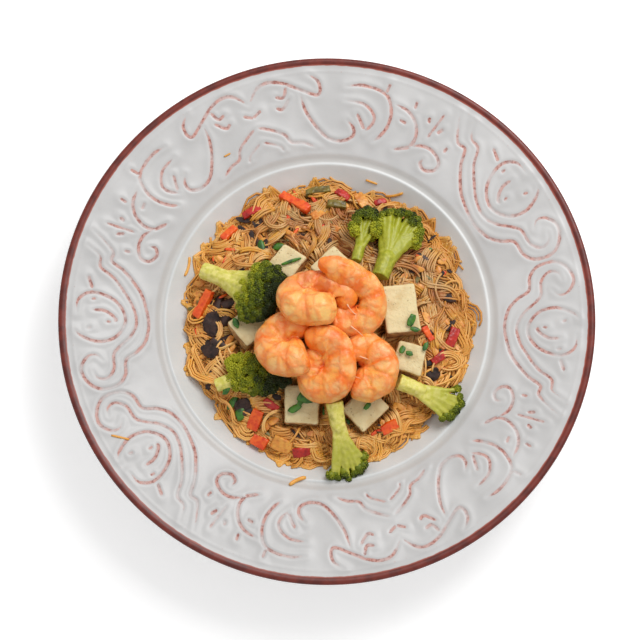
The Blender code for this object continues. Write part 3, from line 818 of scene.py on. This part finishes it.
def make_core(top, finish):
    """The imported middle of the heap, a few millimetres under the loose strands."""
    shape = bmesh.new()
    bmesh.ops.create_uvsphere(shape, u_segments=160, v_segments=96, radius=1.0)
    for vert in shape.verts:
        polar = math.acos(max(-1.0, min(1.0, vert.co.z)))
        share = min(polar, math.pi - polar) / (math.pi / 2)
        angle = math.atan2(vert.co.y, vert.co.x)
        radius = (heap_outline(angle) - 3.0) * share
        x, y = radius * math.cos(angle), radius * math.sin(angle)
        floor = float(dish_z(radius)) + 0.35
        z = floor
        if polar < math.pi / 2 - 0.01:
            lump = 1.4 * noise.noise(Vector((x, y, 0.0)) / 4.0)
            z = max(floor + 0.6, float(top.at(x, y)) - CORE_DEPTH - 2.0 * share ** 6 + lump)
        vert.co = (x, y, z)
    piece = keep_piece("noodles_core", mesh_of(shape, "noodles_core"), finish)
    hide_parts("noodle_heap")


# ---------------------------------------------------------------- shrimps

# x, y, z and radius along the back of each, from the cut shoulder to the tail tip
SHRIMPS = {
    "shrimp_1": [(5, -1, 58, 7.6), (-5, -1, 60, 8.6), (-15, 0, 59, 8.6), (-20.5, 6, 57, 7.6),
                 (-18, 13, 54, 6.6), (-10, 16, 53.5, 6.2), (-1, 16, 53.5, 6.2), (7, 13.5, 53.5, 6.4),
                 (11, 7.5, 53, 6.0), (6, 3, 51, 5.4)],
    "shrimp_2": [(2, -6, 46, 6.6), (13, -6.5, 46, 7.4), (22, -5, 47, 7.6), (26, 3, 49, 7.6),
                 (24, 12, 52, 7.2), (17, 18, 56, 6.6), (9, 22, 60, 6.0), (1, 24, 61, 5.2),
                 (-5, 24, 60, 3.6)],
    "shrimp_3": [(-10, -26, 54, 7.4), (-20, -29, 53, 8.4), (-30, -25, 50, 8.2), (-32, -16, 47, 7.8),
                 (-27, -8, 48, 7.0), (-18, -7, 50, 6.6), (-10, -12, 50, 6.0)],
    "shrimp_4": [(-5, -21, 48, 5.6), (-10.5, -30, 44, 6.6), (-8, -40, 43, 7.6), (1, -43, 46, 7.8),
                 (8, -38, 50, 7.2), (10, -29, 52, 6.4), (8, -20, 53, 5.8), (2, -15, 54, 6.4),
                 (-5, -15.5, 53, 6.8), (-12, -16.5, 51, 6.0)],
    "shrimp_5": [(14, -40, 41, 6.8), (23, -42, 42, 7.6), (31, -37, 44, 7.6), (32.5, -28, 45, 7.4),
                 (28, -21, 45, 7.0), (21, -16.5, 44, 6.6), (17, -20, 46, 6.8), (16.5, -27.5, 46, 6.8)],
}
# the point that each curls around, and how nearly its belly closes over it
SHRIMP_EYES = {
    "shrimp_1": ((-3, 8.5, 55), 0.96),
    "shrimp_2": ((15.5, 6.5, 49), 0.80),
    "shrimp_3": ((-21.5, -17, 50), 1.02),
    "shrimp_4": ((-1, -30, 48), 1.02),
    "shrimp_5": ((21, -29, 43), 1.02),
}
SHRIMP_SEGMENTS = 6
# x, y, z and heading of each leg remnant
LEG_STARTS = [(11, 3, 56, -60), (13, -9, 54, -40), (17, -25, 51, -22), (10, -35, 54, -25), (-6, -36, 50, 160)]


def round_end(share, length):
    """How far a tube has opened at a share of its length, for a blunt rounded end of that length."""
    if share >= length:
        return 1.0
    return max(0.0, 1.0 - (1.0 - share / length) ** 3) ** 0.45


def shrimp_section(spine, eye, close, seed, share, angle):
    """A point of a shrimp's skin, with its fold, inner, pale, cream and tail."""
    x, y, z, radius = catmull(spine, share)
    ahead = Vector(catmull(spine, min(1.0, share + 0.01))[:3])
    behind = Vector(catmull(spine, max(0.0, share - 0.01))[:3])
    along = (ahead - behind).normalized()
    spot = Vector((x, y, z))
    toward = eye - spot
    toward -= along * toward.dot(along)
    gap, inward = toward.length, toward.normalized()
    belly = max(0.0, math.cos(angle))
    bend = noise.noise(Vector((share * 9.0, angle * 1.3, seed)))
    beat = (share + 0.012 * math.cos(2 * angle) + 0.022 * bend - 0.02) / 0.88 * SHRIMP_SEGMENTS
    phase = beat - math.floor(beat)
    within = 0.0 < beat < SHRIMP_SEGMENTS
    groove = math.exp(-(min(phase, 1.0 - phase) / 0.10) ** 2) if within else 0.0
    step = (phase - 0.5) * 0.05 if within else 0.0
    lump = noise.noise(spot / 6.0 + Vector((seed, math.cos(angle) * 1.2, math.sin(angle) * 1.2)))
    fine = noise.noise(Vector((share * 26.0, math.cos(angle) * 2.0 + seed, math.sin(angle) * 2.0)))
    size = radius * (1.0 + step - (0.035 + 0.035 * belly) * groove + 0.09 * lump + 0.06 * fine)
    size *= round_end(share, 0.05) * round_end(1.0 - share, 0.08)
    tail = max(0.0, (share - 0.80) / 0.20)
    reach = max(1.0, min(2.7, gap * close / radius))
    reach += (1.0 - reach) * min(1.0, tail * 1.6)
    depth = math.cos(angle) * size * (reach if math.cos(angle) > 0 else 1.0)
    width = math.sin(angle) * size * (1.04 - 0.25 * tail)
    swell = math.sin(math.pi * phase)
    inner = belly * min(1.0, reach / 1.4) * (1.0 - tail)
    # pale: pale flesh and painted highlight on the swell of each segment, less on the belly
    pale = swell * (1.0 - 0.6 * belly) if within else 0.2
    cream = max(0.0, 1.0 - share * 2.4) ** 0.5 * (0.45 + 0.55 * swell)
    return spot + inward * depth + along.cross(inward) * width, (groove, inner, pale, cream, share)


def make_shrimp(name, spine, finish, seed):
    """A curled shrimp: overlapping segments along its back, a full belly that closes on the curl's eye."""
    eye, close = SHRIMP_EYES[name]
    eye = Vector(eye)
    shape = bmesh.new()
    bmesh.ops.create_uvsphere(shape, u_segments=SHRIMP_AROUND, v_segments=SHRIMP_ALONG, radius=1.0)
    marks = []
    tree = KDTree(len(shape.verts))
    for index, vert in enumerate(shape.verts):
        share = math.acos(max(-1.0, min(1.0, vert.co.z))) / math.pi
        angle = math.atan2(vert.co.y, vert.co.x)
        vert.co, mark = shrimp_section(spine, eye, close, seed, share, angle)
        marks.append(mark)
        tree.insert(vert.co * MM, index)
    tree.balance()
    mesh = applied(mesh_of(shape, name + "_flesh"),
                   ('REMESH', {"mode": 'VOXEL', "voxel_size": SHRIMP_VOXEL * MM}),
                   ('SMOOTH', {"factor": 0.5, "iterations": 5}))
    nearest = [marks[tree.find(vert.co)[1]] for vert in mesh.vertices]
    for kind, values in zip(("fold", "inner", "pale", "cream", "tail"), zip(*nearest)):
        set_attribute(mesh, kind, values)
    piece = keep_piece(name + "_flesh", mesh, finish)
    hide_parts(name)


def make_whiskers(finish):
    """Thin pale leg remnants that cross the curls."""
    rng = random.Random(5)
    paths = []
    for x, y, z, heading in LEG_STARTS:
        turn = math.radians(heading)
        path = []
        for k in range(LEG_STEPS):
            path.append((x, y, z - 0.04 * k * k))
            x += 1.1 * math.cos(turn)
            y += 1.1 * math.sin(turn)
            turn += rng.uniform(-0.1, 0.12)
        paths.append(path)
    radii = [np.linspace(0.5, 0.2, LEG_STEPS) for _ in paths]
    mesh = strands_mesh("shrimp_legs", paths, radii, [0.5] * len(paths), 1)
    keep_piece("shrimp_legs", mesh, finish)


# ---------------------------------------------------------------- tofu and cut vegetables


def soften(node, finish, voxel, rounding, roughen, grain):
    """A CAD solid's own shape, remeshed finely, its edges softened and its faces roughened."""
    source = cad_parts[node].data.copy()
    shape = bmesh.new()
    shape.from_mesh(source)
    bmesh.ops.remove_doubles(shape, verts=shape.verts, dist=0.00001)
    shape.to_mesh(source)
    shape.free()
    mesh = applied(source, ('REMESH', {"mode": 'VOXEL', "voxel_size": voxel * MM}),
                   ('SMOOTH', {"factor": 0.5, "iterations": rounding}))
    coords = points_of(mesh)
    normals = np.empty(len(coords) * 3)
    mesh.vertices.foreach_get("normal", normals)
    normals = normals.reshape(-1, 3)
    seed = Vector((sum(map(ord, node)) * 0.37, 0.0, 0.0))
    bumps = np.array([noise.noise(Vector(c) / (grain * MM) + seed) for c in coords])
    coarse = np.array([noise.noise(Vector(c) / (5 * grain * MM) + seed) for c in coords])
    coords += normals * ((bumps + 3.0 * coarse) * roughen * MM)[:, None]
    set_attribute(mesh, "level", normals[:, 2])
    set_points(mesh, coords)
    piece = keep_piece(node + "_cut", mesh, finish)
    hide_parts(node)


# ---------------------------------------------------------------- broccoli

# root, crown centre, stalk radii, crown radii (along, across, thick), crown heading, how far back the
# buds start, how high up the crown's face they reach, how pale they are, branches and their radius
BROCCOLI = {
    "broccoli_1": ((16.5, 31, 39), (22, 52, 35), (3.2, 4.0), (12, 9, 7),
                   82, -0.30, 0.75, 0.50, (10, 1.5)),
    "broccoli_2": ((30, 22, 39), (39.5, 48, 35), (5.0, 7.0), (16, 15, 8),
                   68, 0.08, 0.50, 0.50, (22, 2.4)),
    "broccoli_3": ((-70, 28, 29), (-38, 13, 41), (5.2, 6.6), (14, 18, 8),
                   -25, -0.50, 1.0, 0.30, (18, 2.2)),
    "broccoli_4": ((-62, -38, 28), (-40, -32, 33), (4.0, 6.0), (20, 12, 8),
                   -10, -0.62, 1.0, 0.36, (13, 2.0)),
    "broccoli_5": ((4, -49, 40), (9.5, -79, 30), (5.0, 5.2), (13, 13.5, 4.5),
                   -64, 0.48, 0.14, 0.46, (14, 1.45)),
    "broccoli_6": ((40, -37, 36), (66, -47, 30), (4.8, 5.0), (10.5, 11.5, 5),
                   -20, 0.45, 0.20, 0.50, (13, 1.4)),
}


def make_stalk(name, root, crown, stalk_radii, ends, branch, finish):
    """The stalk and the branches that fan out of it, grown into one smooth form."""
    rng = random.Random(name)
    root, crown = Vector(root), Vector(crown)
    paths, radii = [], []
    steps = STALK_STEPS
    tip = root.lerp(crown, 0.6)
    paths.append([tuple(root.lerp(tip, k / steps)) for k in range(steps + 1)])
    radii.append(np.linspace(stalk_radii[0], stalk_radii[1] * 0.8, steps + 1))
    radii[0][-3:] *= (0.92, 0.75, 0.45)
    for end in ends:
        fork = root.lerp(crown, rng.uniform(0.12, 0.42))
        bow = fork.lerp(end, 0.5) + (crown - root).normalized() * 1.4
        route = [tuple(fork), tuple(bow), tuple(end)]
        paths.append([tuple(catmull(route, k / steps)) for k in range(steps + 1)])
        thick = rng.uniform(0.85, 1.15) * branch
        radii.append(np.linspace(max(thick, 0.5 * stalk_radii[1]), thick * 0.7, steps + 1))
    bare = strands_mesh(name + "_stalk", paths, radii, [0.5] * len(paths), 3)
    mesh = applied(bare, ('REMESH', {"mode": 'VOXEL', "voxel_size": STALK_VOXEL * MM}),
                   ('SMOOTH', {"factor": 0.5, "iterations": 4}))
    coords = points_of(mesh) / MM
    axis = (crown - root).normalized()
    along = (coords - np.array(root)) @ np.array(axis) / (crown - root).length
    set_attribute(mesh, "reach", np.clip(along, 0.0, 1.3))
    ridges = np.array([noise.noise(Vector((c[0] * 0.35, c[1] * 0.35, c[2] * 0.35))) for c in coords])
    normals = np.empty(len(coords) * 3)
    mesh.vertices.foreach_get("normal", normals)
    set_points(mesh, (coords + normals.reshape(-1, 3) * ridges[:, None] * 0.35) * MM)
    piece = keep_piece(name + "_stalk", mesh, finish)
    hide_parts(name)


def bud_cluster(rng):
    """One dome of buds on a unit radius, its top toward +Z, with a tint for each bud."""
    shape = bmesh.new()
    tint_layer = shape.verts.layers.float.new("tint")
    made = bmesh.ops.create_icosphere(shape, subdivisions=2, radius=0.9)
    for vert in made["verts"]:
        vert[tint_layer] = 0.30
    for k in range(BUDS_IN_A_DOME):
        height = 1.0 - 1.25 * (k + 0.5) / BUDS_IN_A_DOME
        ring = math.sqrt(max(0.0, 1.0 - height * height))
        spin = GOLDEN_ANGLE * k + rng.uniform(-0.25, 0.25)
        bud = Vector((ring * math.cos(spin), ring * math.sin(spin), height)) * rng.uniform(0.94, 1.1)
        made = bmesh.ops.create_icosphere(shape, subdivisions=1, radius=rng.uniform(0.17, 0.25))
        tint = 0.30 * (1.0 - height) + rng.uniform(-0.12, 0.16)
        for vert in made["verts"]:
            vert.co += bud
            vert[tint_layer] = tint
    mesh = bpy.data.meshes.new("bud_cluster")
    shape.to_mesh(mesh)
    shape.free()
    return mesh


def make_crown(name, crown, crown_radii, turn, start, face, green, finish):
    """Domes of small buds over the crown; returns the domes' feet for the branches to meet."""
    rng = random.Random(name + "_buds")
    clusters = [bud_cluster(rng) for _ in range(5)]
    fade = 0.4 - 0.6 * min(0.0, start)        # how fast the buds darken away from the stalk
    shape = bmesh.new()
    feet, spots = [], []
    for _ in range(DOME_TRIES):
        direction = Vector([rng.gauss(0.0, 1.0) for _ in range(3)]).normalized()
        up = (turn @ direction).z
        if direction.x < start - 0.25 * rng.random() or up > face + 0.5 * max(0.0, direction.x - 0.55):
            continue
        spot = Vector([d * r * rng.uniform(0.90, 1.08) for d, r in zip(direction, crown_radii)])
        if any((spot - other).length < DOME_GAP for other in spots):
            continue
        spots.append(spot)
        outward = Vector([d / r for d, r in zip(direction, crown_radii)]).normalized()
        size = rng.uniform(1.8, 3.1)
        feet.append(Vector(crown) + turn @ (spot - outward * size * 1.3))
        place = Matrix.Translation(Vector(crown) + turn @ (spot - outward * size * 0.75))
        upright = (turn @ outward).to_track_quat('Z', 'Y').to_matrix().to_4x4()
        cluster = rng.choice(clusters).copy()
        cluster.transform(place @ upright @ Matrix.Scale(size, 4))
        shade = cluster.attributes["tint"].data
        values = np.empty(len(shade), dtype=np.float32)
        shade.foreach_get("value", values)
        values += green - fade * direction.x + rng.uniform(-0.10, 0.10)
        shade.foreach_set("value", values)
        shape.from_mesh(cluster)
        bpy.data.meshes.remove(cluster)
    keep_piece(name + "_buds", mesh_of(shape, name + "_buds", flip_check=False), finish)
    return feet


def make_broccoli(name, spec, stalk, buds):
    """One floret: its crown of buds, then the stalk that reaches them."""
    root, crown, stalk_radii, crown_radii, heading, start, face, green, (count, branch) = spec
    rise = Vector(crown) - Vector(root)
    slope = math.atan2(rise.z, math.hypot(rise.x, rise.y))
    turn = Matrix.Rotation(math.radians(heading), 3, 'Z') @ Matrix.Rotation(-slope, 3, 'Y')
    feet = make_crown(name, crown, crown_radii, turn, start, face, green, buds)
    random.Random(name + "_feet").shuffle(feet)
    make_stalk(name, root, crown, stalk_radii, feet[:count], branch, stalk)


# ---------------------------------------------------------------- herbs and loose bits

# body and mottle colours of the cut vegetables
CUTS = {
    "carrot": ((236, 98, 20), (214, 62, 8)),
    "pepper": ((188, 36, 18), (146, 14, 10)),
    "onion": ((228, 160, 66), (198, 114, 36)),
    "green_bean": ((122, 104, 32), (84, 70, 22)),
    "wood_ear": ((62, 38, 30), (32, 18, 15)),
}
# kind, count, lengths, widths, how near the middle, thickness
SHREDS = {
    "carrot": (26, (2.5, 7), (1.2, 2.6), 0.15, 1.1), "pepper": (24, (3, 8), (1.4, 3.0), 0.15, 0.8),
    "onion": (150, (3, 9), (2.0, 4.6), 0.10, 0.5), "green_bean": (16, (3, 9), (1.6, 3.0), 0.15, 0.8),
    "wood_ear": (42, (3, 9), (1.8, 4.4), 0.15, 0.5),
}

# x, y, length, width, heading, curl: scallion and parsley lying on the food
GREENS = [
    (-37, 39, 13, 5, 98, 0.9), (-35, 31, 8, 6.5, 10, 1.2), (-27.5, 42, 6, 4.5, 5, 0.6),
    (-20, 31, 12, 2, 20, 0.3), (-51, -4, 5, 4, -50, 0.5), (-56, -40, 8, 4, 70, 0.8),
    (-53, -47, 9, 5, 65, 1.0), (-48, -52, 10, 8, 60, 1.3), (-18, -52, 7, 4.5, 35, 0.5),
    (-12, -46, 9, 6, -10, 0.6), (-15, -49, 4, 3, 60, 0.4), (47, -4, 7, 4, 70, 0.7),
    (49, -9, 5, 3, -20, 0.8), (42, -20, 4.5, 3.5, 60, 0.5), (46, -22, 4, 3, -10, 0.5),
    (55, -18, 5, 3, 75, 0.6), (22.5, -50.5, 5, 3, 55, 0.3), (11, -58, 4, 3.5, 20, 0.4),
    (-1.5, -51, 7, 1.8, 85, 0.2), (58, 41, 4, 3, 30, 0.5),
]

# the same for the broad wood-ear folds at the left, and smaller ones on the right
FOLDS = [
    (-62, 7, 15, 8, 80, 1.4), (-58, 0, 14, 8, 40, 1.5), (-64, -5, 11, 7, 110, 1.2),
    (-61, -14, 10, 6, 150, 1.0), (-55, 9, 10, 6, 20, 1.2), (-43, -52, 9, 5, 20, 1.0),
    (-66, -29, 8, 4, -20, 0.8), (69, 18, 7, 4, 10, 0.9), (58, -9, 7, 5, 70, 1.0),
    (57, -25, 7, 4, 20, 0.9), (-17, 58, 9, 5, 10, 0.7), (54, 36, 9, 5, -30, 0.7),
]

# x, y, length, heading, radius: single noodles lying on the glaze
STRAYS = [
    (39, 75, 10, 5, 0.8), (46, 67, 8, -42, 0.7), (54, 56, 9, 55, 0.8), (-80, 32, 11, 78, 0.8),
    (-16, -92, 10, 24, 1.1), (-114, -69, 10, -12, 0.6), (-57, 95, 4, 30, 0.5), (60, 50, 7, 60, 0.6),
    (-70, 44, 6, 50, 0.7), (4, 84, 5, -30, 0.6), (26, 82, 7, -20, 0.6),
]


def surface_z(tree, top, x, y):
    """The first surface met from above: a topping, the noodles or the glaze."""
    best = max(float(top.at(x, y)) if math.hypot(x, y) < 78 else 0.0, float(dish_z(math.hypot(x, y))))
    hit = tree.ray_cast(Vector((x * MM, y * MM, 0.1)), -UP)[0]
    return max(best, hit.z / MM) if hit is not None else best


def make_flakes(name, flakes, tree, top, finish, thickness, lift, seed):
    """Thin curled pieces, each given as x, y, length, width, heading and curl, lying on the food."""
    rng = random.Random(seed)
    shape = bmesh.new()
    for x, y, length, width, heading, curl in flakes:
        made = bmesh.ops.create_grid(shape, x_segments=6, y_segments=3, size=0.5)
        turn = math.radians(heading)
        skew = rng.uniform(-0.35, 0.35)
        blunt = rng.uniform(0.5, 1.05)
        tip, lean = rng.uniform(-0.12, 0.12) * length, rng.uniform(-0.3, 0.3)
        base = surface_z(tree, top, x, y) + lift
        for vert in made["verts"]:
            u, v = vert.co.x, vert.co.y
            ragged = 0.18 * noise.noise(Vector((u * 5.0, v * 5.0, x)))
            across = v * width * (1.0 - blunt * (2 * abs(u)) ** 2.4 * 0.6 + ragged)
            lengthways = u * length + skew * v * width + ragged * width
            px = x + lengthways * math.cos(turn) - across * math.sin(turn)
            py = y + lengthways * math.sin(turn) + across * math.cos(turn)
            bow = curl * width * (0.25 - v * v) - 0.6 * curl * length * u * u * 0.3
            vert.co = (px, py, base + bow + u * tip + v * width * lean + 0.3 * ragged)
    mesh = applied(mesh_of(shape, name, flip_check=False),
                   ('SOLIDIFY', {"thickness": thickness * MM, "offset": 0.0}),
                   ('SUBSURF', {"levels": 1, "render_levels": 1}))
    keep_piece(name, mesh, finish)


def scattered(tree, top, count, length, width, inner, seed):
    """Places for shreds where noodles, not toppings, are on top."""
    rng = random.Random(seed)
    flakes = []
    while len(flakes) < count:
        radius = 77.0 * math.sqrt(rng.uniform(inner, 1.0))
        angle = rng.uniform(0.0, math.tau)
        x, y = radius * math.cos(angle), radius * math.sin(angle)
        near = tree.find_nearest(Vector((x, y, float(top.at(x, y)) + 2.0)) * MM)[3]
        if near > 4.0 * MM and tree.ray_cast(Vector((x * MM, y * MM, 0.1)), -UP)[0] is None:
            size = rng.uniform(*length), rng.uniform(*width)
            flakes.append((x, y, *size, rng.uniform(0, 360), rng.uniform(-0.4, 1.0)))
    return flakes


def make_strays(finish):
    """Single noodles that fell on the glaze."""
    rng = random.Random(77)
    paths, radii = [], []
    for x, y, length, heading, radius in STRAYS:
        turn = math.radians(heading)
        bend = rng.uniform(-0.10, 0.10)
        x -= 0.5 * length * math.cos(turn)
        y -= 0.5 * length * math.sin(turn)
        turn -= 4 * bend
        path = []
        for _ in range(9):
            path.append((x, y, float(dish_z(math.hypot(x, y))) + radius * 0.85))
            x += length / 8 * math.cos(turn)
            y += length / 8 * math.sin(turn)
            turn += bend
        paths.append(path)
        radii.append(radius * np.array([0.75] + [1.0] * 7 + [0.75]))
    mesh = strands_mesh("stray_noodles", paths, radii, [0.9] * len(paths), 2)
    keep_piece("stray_noodles", mesh, finish)


# ---------------------------------------------------------------- stage


def make_stage():
    """A plain pale floor, a soft sky and one broad light up to the right."""
    bpy.ops.mesh.primitive_plane_add(size=6.0, location=(0, 0, -0.0005))
    floor = bpy.context.object
    floor.name = "floor"
    paint = Finish("floor", (254, 254, 254), 0.9,
                   Emission_Color=(1.0, 1.0, 1.0, 1.0), Emission_Strength=0.25)
    paint.bump(paint.grain(40.0), 0.02)
    floor.data.materials.append(paint.material)
    world = bpy.data.worlds.new("sky")
    bpy.context.scene.world = world
    world.use_nodes = True
    world.node_tree.nodes["Background"].inputs["Color"].default_value = (1.0, 1.0, 1.0, 1.0)
    world.node_tree.nodes["Background"].inputs["Strength"].default_value = 0.66
    lamp = bpy.data.lights.new("window", 'AREA')
    lamp.size = 0.42
    lamp.energy = 3.6
    holder = bpy.data.objects.new("window", lamp)
    holder.location = LAMP_PLACE
    holder.rotation_euler = (LAMP_AIM - LAMP_PLACE).to_track_quat('-Z', 'Y').to_euler()
    bpy.context.scene.collection.objects.link(holder)
    bpy.context.scene.view_settings.view_transform = 'Standard'


def make_camera():
    """Looks down on the plate from a metre away, a little off the vertical."""
    tilt = math.radians(CAMERA_TILT)
    lens = bpy.data.cameras.new("camera")
    lens.sensor_width = 36.0
    lens.lens = CAMERA_LENS
    camera = bpy.data.objects.new("camera", lens)
    camera.location = CAMERA_AIM + CAMERA_DISTANCE * Vector((0.0, -math.sin(tilt), math.cos(tilt)))
    camera.rotation_euler = (tilt, 0.0, 0.0)
    bpy.context.scene.collection.objects.link(camera)
    bpy.context.scene.camera = camera


# ---------------------------------------------------------------- the whole plate

make_stage()
make_camera()
make_plate(glaze_finish())

nodes = sorted(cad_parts)
pressing = [n for n in nodes if n.split("_")[0] in ("shrimp", "tofu", "broccoli")]
heap_top = HeapTop(pressing)
noodles = noodle_finish()
make_core(heap_top, core_finish())
make_noodles(heap_top, noodles)
make_fringe(heap_top, noodles)
make_strays(noodles)

for number, (name, spine) in enumerate(SHRIMPS.items()):
    cream, brown = (0.9, 0.7) if name == "shrimp_1" else (0.25, 0.0)
    make_shrimp(name, spine, shrimp_finish(name, cream, brown), 3.7 * number)
make_whiskers(cut_finish("shrimp_legs", (240, 190, 150), (238, 150, 100), 3.0))

curd = tofu_finish()
for name in [n for n in nodes if n.startswith("tofu")]:
    soften(name, curd, 0.6, 3, 0.16, 1.2)

green_stalk = stalk_finish("green_stalk", (172, 172, 52), (148, 152, 32))
pale_stalk = stalk_finish("pale_stalk", (228, 216, 124), (206, 198, 84))
buds = bud_finish()
for name, spec in BROCCOLI.items():
    make_broccoli(name, spec, green_stalk if name in ("broccoli_1", "broccoli_2") else pale_stalk, buds)

pressing_tree = solid_tree(pressing)
for kind, (body, mark) in CUTS.items():
    finish = cut_finish(kind, body, mark, 3.5, *((0.65, 0.0) if kind == "wood_ear" else (0.38, 0.15)))
    for name in [n for n in nodes if n.rsplit("_", 1)[0] == kind]:
        soften(name, finish, 0.42, 5, 0.32, 1.6)
    count, length, width, inner, thickness = SHREDS[kind]
    places = scattered(pressing_tree, heap_top, count, length, width, inner, len(kind))
    make_flakes(kind + "_shreds", places, pressing_tree, heap_top, finish, thickness, 1.1, len(kind))

make_flakes("wood_ear_folds", FOLDS, pressing_tree, heap_top,
            cut_finish("dark_folds", (72, 44, 36), (34, 20, 16), 4.0, 0.5, 0.05), 0.7, 1.2, 21)
make_flakes("scallion_and_parsley", GREENS, pressing_tree, heap_top,
            cut_finish("greens", (66, 120, 18), (30, 78, 10), 3.0), 0.6, 1.7, 12)
